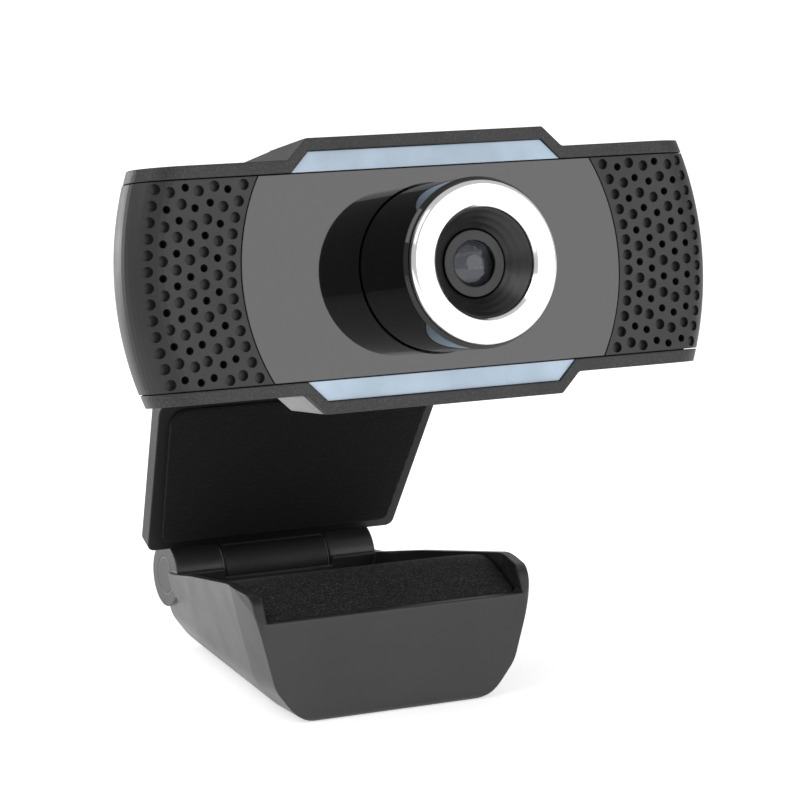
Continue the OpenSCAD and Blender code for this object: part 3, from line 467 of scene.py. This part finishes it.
def turned_finish(name, colour, rough, pitch, depth, **values):
    """A finish with turned rings of that pitch (mm) and depth (micrometres) about the lens."""
    material, tree, skin = new_material(name, **values)
    rings = place_group(tree, turned_rings, Pitch=pitch)
    rub = place_group(tree, edge_rub, Reach=0.25)
    smear = place_group(tree, handling, Size=4.0)["Smear"]
    plug(tree, between(tree, smear, [0.93 * c for c in colour] + [1], (*colour, 1)), skin["Base Color"])
    plug(tree, spread(tree, smear, 0.8 * rough, 1.25 * rough), skin["Roughness"])
    raise_grain(tree, rings["Height"], depth, rub["Normal"], skin["Normal"])
    return material


ring_chrome = turned_finish("ring_chrome", (0.88, 0.88, 0.89), 0.12, pitch=0.2, depth=0.25, Metallic=1.0)
dress(ring_chrome, "focus_ring")
cone_black = turned_finish("cone_black", (0.010, 0.010, 0.0104), 0.34, pitch=0.75, depth=7)
dress(cone_black, "mouth_cone")

# ---- Lens cell, retainer and glass ---------------------------------------------------------------
# Three small lenses sit in a threaded black cell under a retaining ring. Their faces carry a
# thin anti-reflection coat that shows as a faint blue-violet gleam.
dress(inner_plastic, "lens_cell")
retainer_black = turned_finish("retainer_black", (0.003, 0.003, 0.0031), 0.30, pitch=0.9, depth=5)
dress(retainer_black, "lens_retainer")


def coated_glass(name, colour, **values):
    """Clear glass with a tinted coat; faint dust roughens it in places."""
    material, tree, skin = new_material(name, Transmission_Weight=1.0, IOR=1.5, Coat_Weight=0.3,
                                        Coat_Roughness=0.02, **values)
    dust = place_group(tree, handling, Size=1.5)["Smear"]
    plug(tree, between(tree, dust, (*colour, 1), [0.94 * c for c in colour] + [1]), skin["Base Color"])
    plug(tree, spread(tree, dust, 0.01, 0.05), skin["Roughness"])
    return material


optical_glass = coated_glass("optical_glass", (0.55, 0.56, 0.60), Coat_Tint=(0.85, 0.88, 1.0, 1.0))
dress(optical_glass, "front_lens", "middle_lens", "rear_lens")
filter_glass = coated_glass("filter_glass", (0.80, 0.42, 0.48), Coat_Tint=(1.0, 0.7, 0.8, 1.0))
dress(filter_glass, "infrared_filter")

# ---- Lens mount, sensor and circuit board ------------------------------------------------------------
# The mount is a black moulding screwed over the sensor. The board is green glass laminate with
# copper tracks under its solder mask; chip, crystal and cable connector stand on its back.
dress(inner_plastic, "lens_mount")
board_laminate, tree, skin = new_material("board_laminate")
board_place = tree.nodes.new("ShaderNodeMapping")
board_place.vector_type = "TEXTURE"
board_place.inputs["Location"].default_value = lens_centre
board_place.inputs["Rotation"].default_value = (math.pi / 2 - lens_pitch, 0, 0)
plug(tree, object_place(tree), board_place.inputs["Vector"])
tracks = texture(tree, "Brick", board_place.outputs["Vector"], Scale=260.0)
tracks.inputs["Mortar Size"].default_value = 0.06
weave = texture(tree, "Noise", board_place.outputs["Vector"], Scale=2500.0, Detail=2.0)
masked = between(tree, tracks.outputs["Fac"], (0.012, 0.13, 0.045, 1), (0.03, 0.24, 0.08, 1))
plug(tree, masked, skin["Base Color"])
plug(tree, spread(tree, weave.outputs["Fac"], 0.22, 0.42), skin["Roughness"])
raise_grain(tree, tracks.outputs["Fac"], 30, tree.nodes.new("ShaderNodeNewGeometry").outputs["Normal"],
            skin["Normal"])
dress(board_laminate, "circuit_board")
chip_epoxy = plastic("chip_epoxy", (0.02, 0.02, 0.02), 0.55, cell=0.15, depth=6)
dress(chip_epoxy, "controller_chip")
connector_nylon = plastic("connector_nylon", (0.74, 0.70, 0.58), 0.45, cell=0.25, depth=3,
                          edge_and_glint_colour=(0.85, 0.82, 0.75))
dress(connector_nylon, "board_connector")
sensor_package = plastic("sensor_package", (0.16, 0.11, 0.07), 0.30, cell=0.4, depth=2,
                         edge_and_glint_colour=(0.4, 0.33, 0.2), Coat_Weight=0.5)
dress(sensor_package, "image_sensor")
